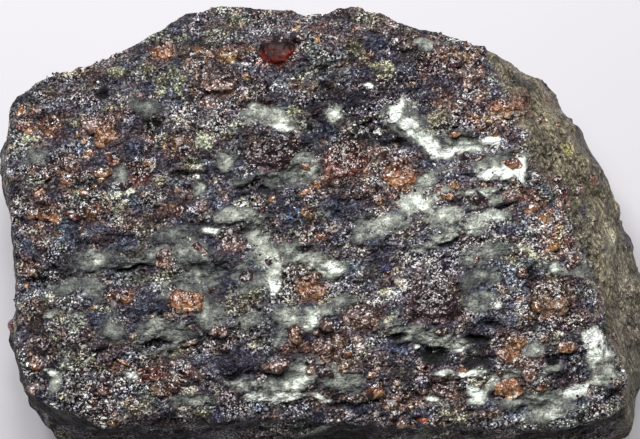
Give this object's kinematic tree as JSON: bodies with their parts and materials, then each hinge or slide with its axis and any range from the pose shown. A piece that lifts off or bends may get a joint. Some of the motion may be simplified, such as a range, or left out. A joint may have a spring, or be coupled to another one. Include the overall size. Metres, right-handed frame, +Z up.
{
  "type": "garnet in kimberlite hand specimen",
  "caption": "Hand specimen of dark kimberlite with a broad broken face, an olive weathered rind on one flank and red to amber garnet grains seated in pockets.",
  "frame": {"origin": "middle of the specimen's bounding box, on the plane that it rests on", "axes": "+X along the longest extent, towards the weathered flank; +Y across the broad face, towards its back edge; +Z up, out of the broad face"},
  "size_m": [0.0772, 0.056, 0.028],
  "materials": {
    "kimberlite": "rough",
    "garnet": "glossy"
  },
  "bodies": {
    "root": {"kimberlite_matrix": "kimberlite", "garnet_01": "garnet", "garnet_02": "garnet", "garnet_03": "garnet", "garnet_04": "garnet", "garnet_05": "garnet", "garnet_06": "garnet", "garnet_07": "garnet", "garnet_08": "garnet", "garnet_09": "garnet", "garnet_10": "garnet", "garnet_11": "garnet", "garnet_12": "garnet", "garnet_13": "garnet", "garnet_14": "garnet", "garnet_15": "garnet", "garnet_16": "garnet", "garnet_17": "garnet", "garnet_18": "garnet", "garnet_19": "garnet", "garnet_20": "garnet", "garnet_21": "garnet", "garnet_22": "garnet", "garnet_23": "garnet", "garnet_24": "garnet", "garnet_25": "garnet", "garnet_26": "garnet", "garnet_27": "garnet", "garnet_28": "garnet", "garnet_29": "garnet", "garnet_30": "garnet", "garnet_31": "garnet", "garnet_32": "garnet", "garnet_33": "garnet", "garnet_34": "garnet", "garnet_35": "garnet", "garnet_36": "garnet", "garnet_37": "garnet", "garnet_38": "garnet", "garnet_39": "garnet", "garnet_40": "garnet", "garnet_41": "garnet"}
  },
  "joints": []
}
